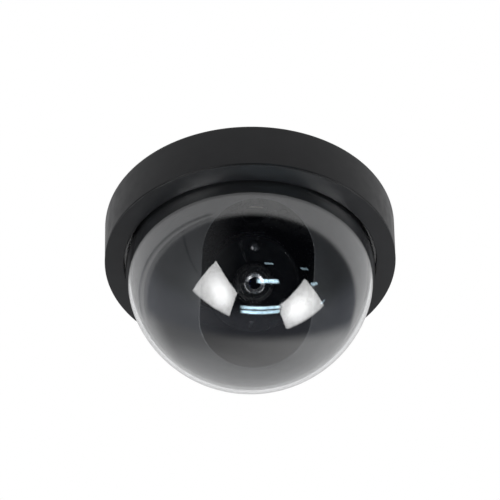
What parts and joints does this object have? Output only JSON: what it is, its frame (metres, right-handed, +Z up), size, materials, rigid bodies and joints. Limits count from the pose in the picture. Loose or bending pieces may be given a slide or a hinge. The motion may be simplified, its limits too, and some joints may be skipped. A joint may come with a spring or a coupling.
{
  "type": "dome security camera",
  "caption": "Ceiling-mounted mini dome security camera: black drum housing, clear dome, slotted inner shroud and a pan, tilt and roll camera module.",
  "frame": {"origin": "centre of the ceiling mounting face", "axes": "+Z up into the ceiling, dome pointing down to -Z, lens and shroud slot facing -Y at rest, +X to the right seen from -Y"},
  "size_m": [0.1224, 0.1224, 0.0719],
  "materials": {
    "housing_plastic": "fine matt black moulded plastic",
    "clear_plastic": "clear gloss moulded plastic",
    "shroud_plastic": "satin dark grey moulded plastic",
    "inner_plastic": "satin black moulded plastic",
    "soft_rubber": "matt black rubber",
    "seal_foam": "closed cell foam",
    "board": "green lacquered circuit board",
    "chip": "moulded chip package",
    "heat_sink": "extruded aluminium",
    "capacitor_can": "sleeved aluminium can",
    "connector": "ivory nylon",
    "ribbon_socket": "brown high temperature nylon",
    "spring_steel": "bright spring steel",
    "screw_steel": "dull zinc plated steel",
    "slip_washer": "graphite filled nylon",
    "sensor": "image sensor package with cover glass",
    "filter_glass": "coated filter glass",
    "lens_glass": "coated optical glass",
    "lens_black": "black anodised lens barrel",
    "lens_trim": "bright turned ring"
  },
  "bodies": {
    "base": {"base_plate": "housing_plastic", "ceiling_seal": "seal_foam", "cable_grommet": "soft_rubber", "main_board": "board", "board_screws": "screw_steel", "processor": "chip", "heat_sink": "heat_sink", "capacitors": "capacitor_can", "video_connector": "connector", "power_connector": "connector", "ribbon_socket": "ribbon_socket", "cover_clips": "spring_steel", "clip_screws": "screw_steel", "pan_washer": "slip_washer", "pan_retainer": "spring_steel", "retainer_screws": "screw_steel"},
    "cover": {"housing_shell": "housing_plastic", "bezel_ring": "housing_plastic", "clear_dome": "clear_plastic", "dome_gasket": "soft_rubber", "dome_retainer": "inner_plastic"},
    "pan": {"turntable": "inner_plastic", "shroud": "shroud_plastic", "shroud_screws": "screw_steel", "yoke_left": "inner_plastic", "yoke_right": "inner_plastic", "yoke_screws": "screw_steel"},
    "tilt": {"cradle": "inner_plastic", "tilt_screws": "screw_steel", "tilt_washers": "slip_washer"},
    "roll": {"camera_housing": "inner_plastic", "roll_washer": "spring_steel", "roll_screw": "screw_steel", "face_plate": "inner_plastic", "face_screws": "screw_steel", "sensor_board": "board", "sensor_board_screws": "screw_steel", "sensor_chip": "sensor", "lens_holder": "inner_plastic", "ir_filter": "filter_glass", "lock_ring": "lens_black"},
    "lens": {"lens_barrel": "lens_black", "lens_front_ring": "lens_trim", "front_element": "lens_glass", "rear_element": "lens_glass"},
    "focus": {"focus_ring": "lens_black"}
  },
  "joints": [
    {"name": "cover_pull", "type": "slide", "parent": "base", "child": "cover", "axis": [0, 0, -1], "range_m": [0, 0.06]},
    {"name": "pan_turn", "type": "hinge", "parent": "base", "child": "pan", "pos_m": [0, 0, -0.0132], "axis": [0, 0, 1], "range_deg": [-175, 175]},
    {"name": "tilt_turn", "type": "hinge", "parent": "pan", "child": "tilt", "pos_m": [0, 0, -0.029], "axis": [1, 0, 0], "range_deg": [-18, 52]},
    {"name": "roll_turn", "type": "hinge", "parent": "tilt", "child": "roll", "pos_m": [0, 0, -0.029], "axis": [0, -0.788, -0.6157], "range_deg": [-90, 90]},
    {"name": "focus_travel", "type": "slide", "parent": "roll", "child": "lens", "axis": [0, -0.788, -0.6157], "range_m": [-0.000375, 0.000375]},
    {"name": "focus_turn", "type": "hinge", "parent": "lens", "child": "focus", "pos_m": [0, 0, -0.029], "axis": [0, -0.788, -0.6157], "range_deg": [-270, 270]}
  ],
  "couplings": [
    {"joint": "focus_turn", "follows": "focus_travel", "rad_per_m": 12566}
  ]
}
